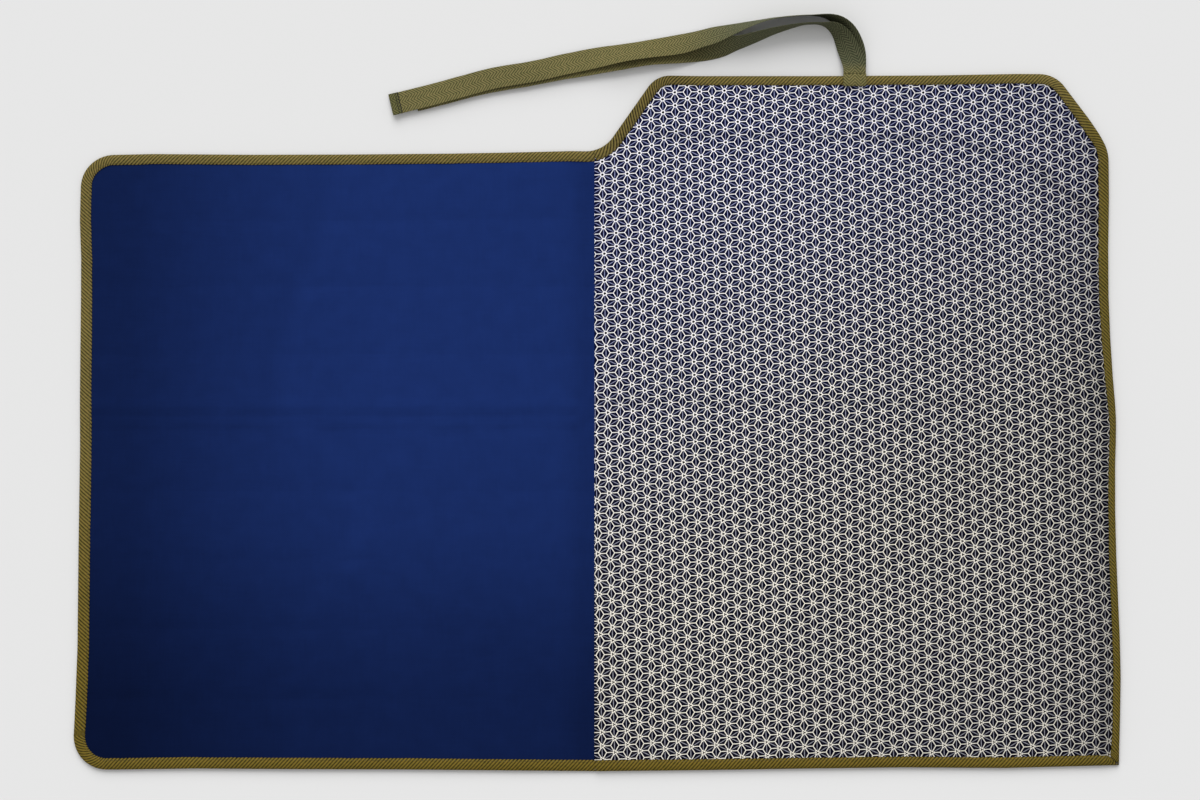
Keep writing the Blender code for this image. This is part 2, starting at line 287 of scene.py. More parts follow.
def printedCotton():
    look = printLook
    finish = Finish("printedCotton", roughness=0.88, specular=0.08)
    rest = finish.attribute("rest")
    x, y = finish.parts(rest)[:2]
    # the printing wanders a little off its true place
    drift = finish.clouds(rest, 0.02, 1.0)
    x0 = x - look["star"][0] + (drift - 0.5) * 1.6
    y0 = y - look["star"][1] + (finish.clouds(rest, 0.017, 1.0) - 0.5) * 1.6
    shares = []
    for (fx, fy), sign in zip((look["first"], look["second"], look["third"]), (1, -1, 1)):
        turns = x0 * (fx * sign) + y0 * (fy * sign)
        shares.append(finish.math("FRACT", turns + 200))
    total = shares[0] + shares[1] + shares[2]
    upper = finish.math("GREATER_THAN", total, 1.5)
    shares = [share + upper * (1 - 2 * share) for share in shares]
    a, b, c = shares
    least = finish.math("MINIMUM", finish.math("MINIMUM", a, b), c)
    most = finish.math("MAXIMUM", finish.math("MAXIMUM", a, b), c)
    middle = a + b + c - least - most
    wobble = (finish.clouds(rest, 1.1, 2.0) - 0.5) * 0.16
    # distance to the nearest star centre, to a triangle's side and to the petal's rib
    centre = least * least + middle * middle + least * middle
    centre = finish.math("SQRT", centre) * (look["rowGap"] * 1.155)
    side = least * look["rowGap"]
    rib = (middle - least) * (look["rowGap"] * 0.576) + wobble
    reach = finish.step(centre, 1.2, 5.2, "LINEAR")
    width, growth = look["boldWidth"]
    boldLine = finish.step(rib - (width + reach * growth), 0.06, -0.06)
    width, growth = look["fineWidth"]
    fineLine = finish.step(side + wobble - (width + reach * growth), 0.12, -0.12)
    disc = finish.step(centre + wobble, look["discRadius"] + 0.09, look["discRadius"] - 0.09)
    dot = finish.step(centre, look["dotRadius"] + 0.08, look["dotRadius"] - 0.08)
    # painted light: the print's colours shift from a painted bluish glare at the upper left to less blue
    # and warmer at the lower right
    low = finish.step(y * 0.8 - x * 0.35, 130, -150)
    ground = finish.mix(low, look["ground"], look["groundAwayFromLight"])
    bright = finish.mix(low, look["line"], look["lineAwayFromLight"])
    pale = finish.mix(low, look["fine"], look["fineAwayFromLight"])
    ink = finish.clouds(rest, 0.5, 3.0)
    colour = finish.mix(fineLine * (0.75 + ink * 0.3), ground, pale)
    colour = finish.mix(boldLine, colour, bright)
    colour = finish.mix(disc, colour, bright)
    colour = finish.mix(dot, colour, look["dot"])
    turn = math.pi / look["thread"]
    weave = finish.sine(x * turn) * finish.sine(y * turn) * 0.5 + 0.5
    mottle = finish.clouds(rest, 0.03, 3.0)
    # painted shade: darker towards the bound edge on the right, and darker towards the right and the bottom
    # where the light falls off
    edge = finish.step(x, 270, 345) * 0.20 + finish.step(x, 325, 340) * 0.15
    far = finish.step(x, 90, 290) * 0.14 + finish.step(y, -130, -215) * 0.06
    # the painted crease shade is taken off here as well
    shade = 0.88 + weave * 0.08 + mottle * 0.14 + ink * 0.05 - edge - far - finish.attribute("press", "Fac")
    finish.paint(colour, shade)
    finish.feed("Roughness", 0.84 + ink * 0.1)
    finish.relief(weave * 0.5 + ink * 0.4, 0.08, 0.5)
    return finish.material


tapeLook = dict(
    # width of one herringbone column, rib spacing along the tape, rib contrast
    tieWeave=(3.75, 2.1, 0.98),
    bindingWeave=(7.5, 2.5, 1.20),
    binding=(0.150, 0.118, 0.034),
    # painted shade: darker binding colours for the bottom and for the right side, where the light falls off
    bindingShadedLow=(0.130, 0.094, 0.013),
    bindingShadedRight=(0.108, 0.082, 0.012),
    tie=(0.152, 0.136, 0.052),
    # painted shade: darker green for the ties' standing arc
    tieShadedGreen=(0.085, 0.090, 0.048),
    hem=(0.100, 0.098, 0.036),
    yarn=0.42,
    # how much the grain, flecks, yarns and patches shade it
    grainDepth=0.38,
    fleckDepth=0.85,
    yarnDepth=0.06,
    patchDepth=0.30,
    # and how much painted shade darkens the sunk inner edge, the tuck at the square corner and the sloping
    # edge by the tab
    seamShadowDepth=0.35,
    tuckShadowDepth=0.55,
    slopeShadeDepth=0.20,
)


def twillTape(name, onTie):
    look = tapeLook
    finish = Finish(name, roughness=0.82, specular=0.12)
    rest = finish.attribute("rest")
    tape = finish.attribute("tape")
    x, y = finish.parts(rest)[:2]
    along, across, side = finish.parts(tape)
    column, spacing, contrast = look["tieWeave"] if onTie else look["bindingWeave"]
    zigzag = finish.math("PINGPONG", across, column)
    ribs = finish.sine((along + zigzag) * (2 * math.pi / spacing)) * 0.5 + 0.5
    yarns = finish.sine(across * (2 * math.pi / look["yarn"])) * 0.5 + 0.5
    grain = finish.clouds(finish.stretched(tape, 1.6, 2.4), 1.0, 3.0, 0.7)
    flecks = finish.clouds(finish.stretched(tape, 0.45, 0.6), 1.0, 2.0)
    patches = finish.clouds(rest, 0.02, 2.0)
    if onTie:
        # painted shade: the ties are painted a darker green along their standing arc, which faces away from
        # the light, but not by their sewn-on ends
        tieShadeZone = finish.step(x, 40, 110) * finish.step(y, 229, 241)
        colour = finish.mix(tieShadeZone, look["tie"], look["tieShadedGreen"])
        colour = finish.mix(finish.step(side, 1.5, 2.5), colour, look["hem"])
    else:
        # painted shade: the binding is painted darker towards the bottom and towards the right edge
        colour = finish.mix(finish.step(y, 60, -200), look["binding"], look["bindingShadedLow"])
        colour = finish.mix(finish.step(x, 300, 342) * 0.8, colour, look["bindingShadedRight"])
    warm = finish.mix(flecks, (0.92, 1.06, 0.95), (1.10, 0.94, 1.02))
    colour = finish.mix(1.0, colour, warm, "MULTIPLY")
    shade = 0.72 + (ribs - 0.5) * contrast + grain * look["grainDepth"]
    shade = shade + (flecks - 0.5) * look["fleckDepth"]
    shade = shade + yarns * look["yarnDepth"] + (patches - 0.5) * look["patchDepth"]
    if not onTie:
        # painted shade: a dark line along the sunk inner edge, a dark line in the tuck at the square
        # corner, and a darker patch on the sloping edge by the tab
        seamShadow = finish.step(across, 1.0, 0.3)
        gap = finish.math("ABSOLUTE", x + y - (rightX + bottomY))
        tuck = finish.step(gap, 1.2, 0.4) * finish.step(x, rightX - 9, rightX - 7)
        tuck = tuck * finish.step(y, bottomY + 9, bottomY + 7)
        slopeShade = finish.step(x, foldX - 10, foldX + 10) * finish.step(x, foldX + 80, foldX + 60)
        slopeShade = slopeShade * finish.step(y, bodyTopY - 8, bodyTopY + 6)
        shade = shade - seamShadow * look["seamShadowDepth"] - tuck * look["tuckShadowDepth"] - slopeShade * look["slopeShadeDepth"]
    finish.paint(colour, shade)
    finish.feed("Roughness", 0.9 - ribs * 0.16)
    finish.relief(ribs + yarns * 0.25 + grain * 0.5, 0.16, 0.6)
    return finish.material


def sewingThread(name, colour):
    finish = Finish(name, roughness=0.6, specular=0.3)
    rest = finish.attribute("rest")
    x, y = finish.parts(rest)[:2]
    twist = finish.sine((x + y) * 21) * 0.5 + 0.5
    shade = 0.75 + twist * 0.35
    finish.paint(colour, shade)
    finish.feed("Roughness", 0.5 + twist * 0.2)
    finish.relief(twist, 0.05, 0.5)
    return finish.material


def paleFloor():
    finish = Finish("paleFloor", roughness=0.95, specular=0.0)
    rest = finish.node("ShaderNodeTexCoord", {}, {}, "Object")
    speck = finish.clouds(rest, 900, 2.0) * 0.006 + (light["floorShade"] - 0.003)
    finish.paint((1, 1, 1), speck)
    finish.feed("Roughness", 0.92 + speck * 0.03)
    return finish.material


navy = navyCanvas()
printed = printedCotton()
bindingTwill = twillTape("bindingTwill", False)
tieTwill = twillTape("tieTwill", True)
bindingThread = sewingThread("bindingThread", (0.135, 0.105, 0.035))
darkThread = sewingThread("darkThread", (0.012, 0.012, 0.006))
floorPaint = paleFloor()
print("finishes made")


cut = dict(
    coverCorner=22,
    squareCorner=1.5,
    shoulder=28,
    tabRight=21,
    tabLeft=18,
    innerBend=22,
    bendFromFold=9,
    tabRun=36,
    tabDrop=47,
    squareClear=9.0,  # straight tape stops here before the square corner
)

corners = [
    (leftX, bottomY, cut["coverCorner"], 1),
    (rightX, bottomY, cut["squareCorner"], 1),
    (rightX, tabTopY - cut["tabDrop"], cut["shoulder"], 1),
    (rightX - cut["tabRun"], tabTopY, cut["tabRight"], 1),
    (foldX + cut["bendFromFold"] + cut["tabRun"], tabTopY, cut["tabLeft"], 1),
    (foldX + cut["bendFromFold"], bodyTopY, cut["innerBend"], -1),
    (leftX, bodyTopY, cut["coverCorner"], 1),
]


# points and outward directions round one corner, set in from the edge
def arcRound(index, inset, stepAngle):
    x, y, radius, bulge = corners[index]
    here = Vector((x, y))
    before = Vector(corners[index - 1][:2]) - here
    after = Vector(corners[(index + 1) % len(corners)][:2]) - here
    before.normalize()
    after.normalize()
    half = before.angle(after) / 2
    centre = here + (before + after).normalized() * radius / math.sin(half)
    first = here + before * radius / math.tan(half) - centre
    turn = first.angle_signed(here + after * radius / math.tan(half) - centre)
    count = max(3, math.ceil(abs(turn) / stepAngle))
    points = []
    for i in range(count + 1):
        angle = -turn * i / count
        way = Vector((first.x * math.cos(angle) - first.y * math.sin(angle),
                      first.x * math.sin(angle) + first.y * math.cos(angle))).normalized()
        points.append((centre + way * (radius - inset * bulge), way * bulge))
    return points


def outline(inset, stepAngle=math.radians(4)):
    points = []
    for index in range(len(corners)):
        points += [point for point, _ in arcRound(index, inset, stepAngle)]
    return points


clothInset = 1.2  # the cloth runs this close to the edge, inside the tape
clothEdge = outline(clothInset)


# lowest and highest X of the cloth at one Y
def reachAt(y):
    y = min(max(y, bottomY + clothInset + 0.01), tabTopY - clothInset - 0.01)
    found = []
    for i, b in enumerate(clothEdge):
        a = clothEdge[i - 1]
        if (a.y - y) * (b.y - y) <= 0 and a.y != b.y:
            found.append(a.x + (b.x - a.x) * (y - a.y) / (b.y - a.y))
    return min(found), max(found)


lie = dict(
    swell=0.9,  # height of the long soft swells
    puckers=0.22,  # height of the small puckers
    fadeIn=16,  # flat again this far from a bound edge
)

# soft creases: points along them, width, height
creases = [
    ([(-165, 175), (-172, 120), (-196, 62), (-203, 10)], 7, 0.7),
    ([(-200, -5), (-168, -40), (-152, -72), (-160, -95)], 8, 0.7),
    ([(-160, -95), (-188, -130), (-198, -180), (-194, -222)], 8, 0.6),
    ([(-345, 3.7), (-200, 3.9), (-100, 3.2), (-20, 4.4)], 2.6, -0.35),
    ([(-345, -6.3), (-180, -6.0), (-90, -6.8), (-20, -5.6)], 2.6, -0.35),
    ([(0, 9), (110, 8), (230, 8.6), (340, 7.4)], 3.2, -0.5),
    ([(0, 4), (110, 3.2), (230, 3.6), (340, 2.6)], 3.5, 0.35),
    ([(36, 191), (120, 190), (190, 189), (243, 188), (296, 168), (340, 131)], 7, 0.35),
    ([(290, 94), (318, 60), (340, 18)], 8, 0.4),
    ([(136, -92), (139, -150), (138, -219)], 7, 0.3),
]


# painted shade and painted light: darker bands in the creases, folds and the ditch by the slots' mouth,
# paler bands beside some of them: points along them, width, darker (or paler) by
creaseShadeLines = [
    ([(-345, 3.7), (-200, 3.9), (-100, 3.2), (-14, 4.4)], 2.6, 0.15),
    ([(-345, -6.3), (-180, -6.0), (-90, -6.8), (-14, -5.6)], 3.0, 0.12),
    ([(-345, -1.4), (-180, -1.2), (-90, -1.8), (-14, -0.8)], 2.2, -0.05),
    ([(-345, 10.5), (-180, 10.8), (-14, 11.2)], 3.4, -0.06),
    ([(-165, 178), (-172, 120), (-196, 62), (-203, 10)], 12, -0.07),
    ([(-182, 178), (-190, 120), (-214, 62), (-222, 10)], 8, 0.05),
    ([(-200, -8), (-168, -40), (-152, -72), (-160, -95)], 12, -0.06),
    ([(-160, -95), (-188, -130), (-198, -180), (-194, -222)], 12, -0.05),
    ([(-100, -140), (-50, -150), (-14, -190)], 18, 0.06),
    ([(-8, 178), (-8, -228)], 6, 0.10),
    ([(2, 9), (110, 8), (230, 8.6), (340, 7.4)], 3.2, 0.16),
    ([(2, 3.4), (110, 2.6), (230, 3.0), (340, 2.0)], 2.4, -0.05),
    ([(36, 191), (120, 190), (190, 189), (243, 188), (296, 168), (318, 150), (340, 131)], 3.0, 0.26),
    ([(36, 197), (120, 196), (190, 195), (245, 194), (300, 174), (322, 155), (344, 136)], 3.0, -0.06),
    ([(290, 94), (318, 60), (340, 18)], 5, 0.08),
    ([(136, -92), (139, -150), (138, -219)], 5, 0.06),
]


def lineDistance(x, y, points):
    best = np.full(x.shape, 1e9)
    for (ax, ay), (bx, by) in zip(points, points[1:]):
        dx, dy = bx - ax, by - ay
        t = np.clip(((x - ax) * dx + (y - ay) * dy) / (dx * dx + dy * dy), 0, 1)
        best = np.minimum(best, np.hypot(x - ax - t * dx, y - ay - t * dy))
    return best


def edgeDistance(x, y):
    closed = clothEdge + clothEdge[:1]
    return lineDistance(x, y, [(p.x, p.y) for p in closed])


# how far the cloth stands off the floor, never below it
def swellAt(x, y):
    x = np.asarray(x, float)
    y = np.asarray(y, float)
    height = 0.5 + 0.5 * np.sin(x / 31 + 1.1 * np.sin(y / 47)) * np.sin(y / 38 + 0.8 * np.sin(x / 63))
    height = height * lie["swell"] * (0.55 + 0.45 * np.sin(x / 85 + y / 120 + 0.6))
    height = height + lie["puckers"] * (1 + np.sin(x / 6.1 + 2 * np.sin(y / 17)) * np.sin(y / 7.3))
    for points, width, tall in creases:
        away = lineDistance(x, y, points) / width
        height = height + tall * np.exp(-away * away)
    # the leaf dips beside the slots' mouth
    height = height * (1 - 0.75 * np.exp(-((x + 13) / 9.0) ** 2))
    fade = np.clip(edgeDistance(x, y) / lie["fadeIn"], 0, 1)
    fade = fade * fade * (3 - 2 * fade)
    # level along each hinge line, so that the strips stay joined when they turn
    for line in hingeY[1:]:
        near = np.exp(-((y - line) / 5.0) ** 2)
        fade = np.where(x < seamX, fade * (1 - 0.8 * near), fade)
    return np.maximum(height, 0) * fade


# how the edges of the case have pulled in or out: place along the edge, shift
pull = dict(
    left=[(-231, 0.8), (-209, 0.8), (-186, 1.6), (-152, 2.4), (-86, 2.1), (-19, 2.1), (14, 1.5),
          (81, 1.2), (108, 0.9), (134, -0.3), (161, 0.0), (179, 0.0)],
    right=[(-231, 0.0), (-219, 0.4), (-199, 1.2), (-172, 2.0), (-146, 1.8), (-119, 1.0), (-92, 0.3),
           (-62, 0.0), (-32, 0.4), (-14, 1.2), (-2, 1.5), (10, 1.0), (28, -0.3), (54, -1.6),
           (81, -2.3), (114, -2.0), (148, -1.0), (174, -0.9), (188, -2.0), (201, -0.5), (231, 0.0)],
    coverTop=[(-345, -2.4), (-324, -2.4), (-297, -1.8), (-230, -2.3), (-164, -2.1), (-130, -1.8),
              (-97, -1.5), (-64, -0.9), (-37, -0.3), (-17, 0.2), (0, 0.0)],
    tabTop=[(0, 0.0), (30, 0.0), (70, -0.67), (150, -0.67), (230, -0.2), (256, 0.3), (283, 0.8),
            (310, 0.6), (345, 0.0)],
    bottom=[(-345, -1.0), (-317, -1.1), (-264, -0.4), (-197, -0.8), (-130, -1.0), (-64, -1.6), (3, -2.2),
            (70, -1.5), (136, -0.5), (203, 0.3), (270, -0.1), (310, 0.9), (345, 1.8)],
    reach=95,  # how far in from an edge its shift fades out
    tabReach=40,
    # how far the edges lift off the floor, and over what width
    bottomRise=[(-345, 0.9), (-200, 1.2), (-40, 0.9), (0, 0.3), (345, 0.3)],
    bottomReach=30,
    sideRise=0.4,
    sideReach=18,
)


def shiftAt(places, shifts):
    return np.interp(places, [place for place, _ in shifts], [shift for _, shift in shifts])


def easeIn(share):
    share = np.clip(share, 0, 1)
    return share * share * (3 - 2 * share)


# points drawn on the straight outline, moved to where the sewn case lies
def settled(points):
    flat = np.asarray(points, float)
    x, y, z = flat.T
    reach = pull["reach"]
    nearLeft = easeIn((leftX + reach - x) / reach)
    nearRight = easeIn((x - rightX + reach) / reach)
    nearBottom = easeIn((bottomY + reach - y) / reach)
    nearCoverTop = easeIn((y - bodyTopY + reach) / reach) * (x < 0)
    nearTabTop = easeIn((y - tabTopY + pull["tabReach"]) / pull["tabReach"]) * (x >= 0)
    newX = x + shiftAt(y, pull["left"]) * nearLeft + shiftAt(y, pull["right"]) * nearRight
    newY = y + shiftAt(x, pull["bottom"]) * nearBottom + shiftAt(x, pull["coverTop"]) * nearCoverTop
    newY = newY + shiftAt(x, pull["tabTop"]) * nearTabTop
    lifted, beside = pull["bottomReach"], pull["sideReach"]
    newZ = z + shiftAt(x, pull["bottomRise"]) * easeIn((bottomY + lifted - y) / lifted)
    atSide = easeIn((leftX + beside - x) / beside) + easeIn((x - rightX + beside) / beside)
    newZ = newZ + pull["sideRise"] * atSide * easeIn((y - bottomY) / lifted)
    return np.stack([newX, newY, newZ], -1)


# how much painted shade (or painted light) the creases and folds put on the cloth
def creaseShadeAt(x, y):
    shade = np.zeros(x.shape)
    for points, width, depth in creaseShadeLines:
        away = lineDistance(x, y, points) / width
        broken = 0.75 + 0.25 * np.sin(x / 23 + y / 19) * np.sin(x / 7.7 - y / 9.1)
        shade = shade + depth * np.exp(-away * away) * broken
    return shade


def newPiece(name, points, faces, materials, tape=None, slots=None, crease=38, settle=False):
    mesh = bpy.data.meshes.new(name)
    placed = settled(points) if settle else np.asarray(points)
    mesh.from_pydata([tuple(p) for p in placed * mm], [], faces)
    for label, values in (("rest", points), ("tape", tape)):
        if values is not None:
            attribute = mesh.attributes.new(label, "FLOAT_VECTOR", "POINT")
            attribute.data.foreach_set("vector", np.asarray(values, np.float32).ravel())
    # painted shade and painted light of the creases, for the canvas and the print
    if navy in materials or printed in materials:
        press = mesh.attributes.new("press", "FLOAT", "POINT")
        x, y = np.asarray(points, float).T[:2]
        press.data.foreach_set("value", creaseShadeAt(x, y).astype(np.float32))
    for material in materials:
        mesh.materials.append(material)
    if slots is not None:
        mesh.polygons.foreach_set("material_index", np.asarray(slots, np.int32))
    mesh.validate()
    mesh.shade_smooth()
    mesh.set_sharp_from_angle(angle=math.radians(crease))
    obj = bpy.data.objects.new(name, mesh)
    bpy.context.scene.collection.objects.link(obj)
    return obj


def gridFaces(rows, columns, start=0, flip=False):
    faces = []
    for r in range(rows - 1):
        for c in range(columns - 1):
            a = start + r * columns + c
            quad = (a, a + 1, a + columns + 1, a + columns)
            faces.append(quad[::-1] if flip else quad)
    return faces


# faces of a thin solid made of an upper and an under grid, with a rim all round
def closedFaces(rows, columns, top=0, under=None):
    under = rows * columns if under is None else under
    faces = gridFaces(rows, columns, top) + gridFaces(rows, columns, under, True)
    rim = list(range(columns))
    rim += [r * columns + columns - 1 for r in range(1, rows)]
    rim += [(rows - 1) * columns + c for c in range(columns - 2, -1, -1)]
    rim += [r * columns for r in range(rows - 2, 0, -1)]
    for a, b in zip(rim, rim[1:] + rim[:1]):
        faces.append((top + a, under + a, under + b, top + b))
    return faces


def closedSheet(name, top, under, rows, columns, material):
    points = np.concatenate([top, under])
    return newPiece(name, points, closedFaces(rows, columns), [material], settle=True)


# rows from low to high, with a narrow one at each end so that neighbours shade alike
def rowsBetween(low, high, step, narrow=0.4):
    count = max(2, round((high - low) / step))
    inner = [low + (high - low) * i / count for i in range(1, count)]
    return [low, low + narrow] + inner + [high - narrow, high]


# cloth between two Y lines, from the X given by fromX(y) to that of toX(y)
def clothSheet(name, lowY, highY, fromX, toX, low, high, material, step=3.2, mouth=False, tuck=0):
    rows = rowsBetween(lowY, highY, step)
    columns = max(4, round((toX((lowY + highY) / 2) - fromX((lowY + highY) / 2)) / (step * 1.15)))
    shares = [i / columns for i in range(columns + 1)]
    xs, ys, drops, sinks = [], [], [], []
    for y in rows:
        start, end = fromX(y), toX(y)
        lip, curl, sink = [], [], []
        if mouth:  # the folded edge rounds down
            lip = [0.0, 0.12, 0.35, 0.7, 1.1]
            curl = [0.9 - math.sqrt(max(0, 0.81 - (0.9 - min(d, 0.9)) ** 2)) for d in lip]
            sink = [0.0] * len(lip)
        if tuck:  # the seam allowance passes under the cover leaf
            lip = [0.0, tuck - 0.2]
            curl = [0.0, 0.0]
            sink = [0.66, 0.66]
        first = lip[-1] + 0.6 if lip else 0.0
        run = end - start - first
        xs.append([start + d for d in lip] + [start + first + run * share for share in shares])
        ys.append([y] * len(xs[-1]))
        drops.append(curl + [0.0] * len(shares))
        sinks.append(sink + [0.0] * len(shares))
    sink = np.array(sinks)
    x, y, drop = np.array(xs), np.array(ys), np.array(drops)
    lift = swellAt(x, y)
    top = np.stack([x, y, high + lift - drop - sink * 1.25], -1).reshape(-1, 3)
    under = np.stack([x, y, low + lift - sink], -1).reshape(-1, 3)
    return closedSheet(name, top, under, x.shape[0], x.shape[1], material)


seamTuck = 3.4  # seam allowance under the cover leaf


def bendAtRoll(obj):
    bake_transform(obj)


def bendAtFold(obj):
    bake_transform(obj)


def clampLeft(limit):
    return lambda y: max(limit, reachAt(y)[0])


def rightReach(y):
    return reachAt(y)[1]


for k in range(1, slotCount + 1):
    highY = tabTopY - clothInset - 0.02 if k == 1 else middleY[k - 1]
    lowY = bottomY + clothInset + 0.02 if k == slotCount else middleY[k]
    back = clothSheet(f"slotBack_{k}", lowY, highY, clampLeft(seamX - seamTuck), rightReach,
                      canvasLow, canvasTop, navy, step=4.0, tuck=seamTuck)
    front = clothSheet(f"slotFront_{k}", lowY, highY, clampLeft(mouthX), rightReach,
                       printLow, printTop, printed, step=3.0, mouth=True)
    for obj, node in ((back, "slot_canvas"), (front, "slot_front")):
        bendAtRoll(obj)
        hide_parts(f"{node}_{k}")
    if k == 1:
        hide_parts("tab_canvas")
        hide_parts("tab_facing")
print("slots made")


for k in range(1, slotCount + 1):
    highY = bodyTopY - clothInset - 0.02 if k == 1 else hingeY[k - 1]
    lowY = bottomY + clothInset + 0.02 if k == slotCount else hingeY[k]
    leaf = clothSheet(f"coverLeaf_{k}", lowY, highY, lambda y: reachAt(y)[0], lambda y: seamX,
                      canvasLow, canvasTop, navy, step=3.0)
    bendAtFold(leaf)
    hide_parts(f"cover_canvas_{k}")
print("cover leaf made")


bound = dict(
    tape=0.5,  # thickness
    flatWidth=15,
    station=3.2,  # longest step along the edge
    stitch=2.7,  # from one stitch to the next
    stitchInset=1.3,
    threadRadius=0.17,
)

# how wide the tape shows at places along the edge, anticlockwise from the lower left corner
shownWidth = [
    ((-338, -224), 7.5), ((0, -231), 7.3), ((330, -231), 7.0), ((345, -215), 5.2), ((345, -90), 5.0),
    ((345, -8), 4.4), ((345, 12), 5.2), ((345, 80), 6.6), ((345, 140), 7.1), ((337, 195), 7.2),
    ((300, 231), 6.7), ((174, 231), 6.4), ((50, 231), 6.5), ((20, 206), 7.2), ((2, 181), 7.2),
    ((-60, 179), 6.9), ((-300, 179), 7.0), ((-345, 150), 7.4), ((-345, 0), 7.8), ((-345, -190), 7.8),
]


# stations along a straight edge, between its ends, that also stop at the marks on it
def straightRun(start, end, way, marks):
    run = (end - start).length
    ahead = (end - start).normalized()
    fixed = [(m - start).length for m in marks
             if abs((m - start).cross(ahead)) < 0.05 and 0.01 < (m - start).dot(ahead) < run - 0.01]
    spots = [0.0] + sorted(set(fixed)) + [run]
    stations = []
    for a, b in zip(spots, spots[1:]):
        count = max(1, round((b - a) / bound["station"]))
        stations += [(start + ahead * (a + (b - a) * i / count), way) for i in range(count) if a or i]
    return stations


# stations right round the edge: place, outward direction
def wholeEdge(marks):
    stations = []
    for index, (x, y, radius, _) in enumerate(corners):
        arc = arcRound(index, 0, math.radians(7))
        if radius == cut["squareCorner"]:
            clear = cut["squareClear"]
            arc = [(Vector((x - clear, y)), Vector((0, -1))),
                   (Vector((x, y)), Vector((1, -1))),
                   (Vector((x, y + clear)), Vector((1, 0)))]
        if stations:
            stations += straightRun(stations[-1][0], arc[0][0], stations[-1][1], marks)
        stations += arc
    return stations + straightRun(stations[-1][0], stations[0][0], stations[-1][1], marks)


marks = [Vector((rightX, y)) for y in middleY[1:]]
marks += [Vector((leftX, y)) for y in hingeY[1:]]
marks += [Vector((seamX, bodyTopY)), Vector((seamX, bottomY))]
edge = wholeEdge(marks)
edgeRun = [0.0]
for (a, _), (b, _) in zip(edge, edge[1:]):
    edgeRun.append(edgeRun[-1] + (b - a).length)
ringLength = edgeRun[-1] + (edge[0][0] - edge[-1][0]).length


def stationAt(x, y):
    return min(range(len(edge)), key=lambda i: (edge[i][0] - Vector((x, y))).length)


widthPlaces = sorted((edgeRun[stationAt(*place)], width) for place, width in shownWidth)
widthPlaces = ([(s - ringLength, w) for s, w in widthPlaces[-1:]] + widthPlaces
               + [(s + ringLength, w) for s, w in widthPlaces[:1]])


def widthAt(run):
    base = float(np.interp(run, [s for s, _ in widthPlaces], [w for _, w in widthPlaces]))
    return base + 0.22 * noise.noise(Vector((run / 19, 3, 0))) + 0.14 * noise.noise(Vector((run / 6, 8, 0)))


# the folded tape's section: inset from the edge and height, round the outside then back
def tapeSection(width, height, run):
    plump = 0.22 + 0.14 * noise.noise(Vector((run / 11, 0, 5)))
    t = bound["tape"]
    outer = [
        (width, height - 0.62), (width + 0.05, height - 0.34), (width - 0.25, height - 0.14),
        (width * 0.80, height - 0.02 + plump * 0.3), (width * 0.55, height + plump),
        (width * 0.3, height + plump * 0.8), (1.5, height - 0.08), (0.62, height - 0.42),
        (0.12, height * 0.68), (0.0, height * 0.5), (0.12, height * 0.32),
        (0.62, 0.34), (1.5, 0.07), (width * 0.4, 0.0), (width * 0.75, 0.0), (width, 0.05),
    ]
    inner = [
        (width, t + 0.05), (width * 0.6, t), (1.6, t + 0.05), (0.75, height * 0.38), (0.6, height * 0.5),
        (0.75, height * 0.62), (1.6, height - t - 0.1), (width * 0.6, height - t - 0.05),
    ]
    return outer, inner


# how far across the tape each point of the outer face is
def sectionCourse(outer):
    course = [0.0]
    for (a, b), (c, d) in zip(outer, outer[1:]):
        course.append(course[-1] + math.hypot(c - a, d - b))
    return [c * bound["flatWidth"] / course[-1] for c in course]


# tape round the edge from one station to another, with its stitches
def bindingPiece(name, first, last, height):
    end = last + 1 if last > first else last + 1 + len(edge)
    indices = [i % len(edge) for i in range(first, end)]
    points, tape, faces = [], [], []
    for i in indices:
        place, way = edge[i]
        run = edgeRun[i]
        width = widthAt(run)
        outer, inner = tapeSection(width, height, run)
        course = sectionCourse(outer)
        back = [course[-1] * (1 - (n + 0.5) / len(inner)) for n in range(len(inner))]
        mitre = way.length > 1.2
        for (inset, z), across in zip(outer + inner, course + back):
            ripple = 0.10 * noise.noise(Vector((run / 5, inset / 3, 2)))
            spot = place - way * max(inset + ripple * (inset > 0.2), 0)
            if mitre and z > height * 0.55:
                z = z - 0.75
            points.append((spot.x, spot.y, z))
            tape.append((run, across, 0))
    ring = len(points) // len(indices)
    for a in range(0, len(points) - ring, ring):
        for p in range(ring):
            q = (p + 1) % ring
            faces.append((a + p, a + q, a + ring + q, a + ring + p))
    faces.append(tuple(range(ring))[::-1])
    faces.append(tuple(range(len(points) - ring, len(points))))
    slots = [0] * len(faces)
    addStitches(points, tape, faces, slots, indices, height)
    return newPiece(name, points, faces, [bindingTwill, bindingThread], tape=tape, slots=slots, crease=50,
                    settle=True)


# a row of short threads sunk into the tape near its inner edge
def addStitches(points, tape, faces, slots, indices, height):
    spots = []
    for i in indices:
        place, way = edge[i]
        if way.length < 1.2:
            spots.append(place - way * (widthAt(edgeRun[i]) - bound["stitchInset"]))
    wanted = 1.0
    course = 0.0
    for a, b in zip(spots, spots[1:]):
        length = (b - a).length
        if length > 12:
            continue
        while wanted <= course + length:
            middle = a + (b - a) * ((wanted - course) / length)
            addThread(points, tape, faces, slots, middle, (b - a).normalized(), height + 0.08, 1.7)
            wanted += bound["stitch"]
        course += length


